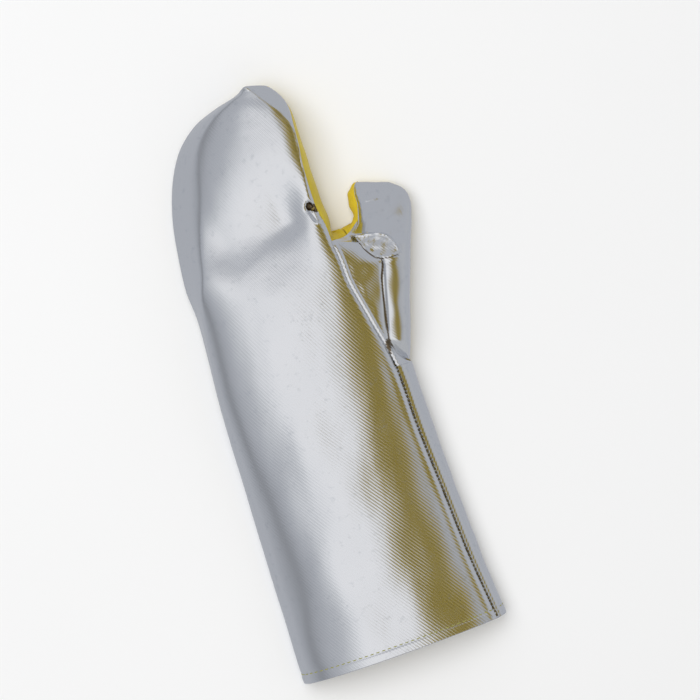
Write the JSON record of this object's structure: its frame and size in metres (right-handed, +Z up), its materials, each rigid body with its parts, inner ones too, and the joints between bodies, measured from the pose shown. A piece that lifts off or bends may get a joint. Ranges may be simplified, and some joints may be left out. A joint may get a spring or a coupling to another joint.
{
  "type": "aluminized mitten",
  "caption": "Long aluminized heat mitten for the left hand, lying palm down, with silver cuff, back and thumb and a yellow aramid palm.",
  "frame": {"origin": "middle of the footprint, on the surface the mitten lies on", "axes": "+Y from the hem of the cuff to the fingertips, +X to the thumb side, +Z up out of the back of the hand"},
  "size_m": [0.1659, 0.3835, 0.0388],
  "materials": {
    "foil_cloth": "ribbed aluminized cloth, mirror-like but creased",
    "aramid_cloth": "matt yellow aramid felt"
  },
  "bodies": {
    "root": {"back_panel": "foil_cloth", "cuff_underside": "foil_cloth", "palm_panel": "aramid_cloth", "thumb_back": "foil_cloth", "thumb_palm": "aramid_cloth"}
  },
  "joints": []
}
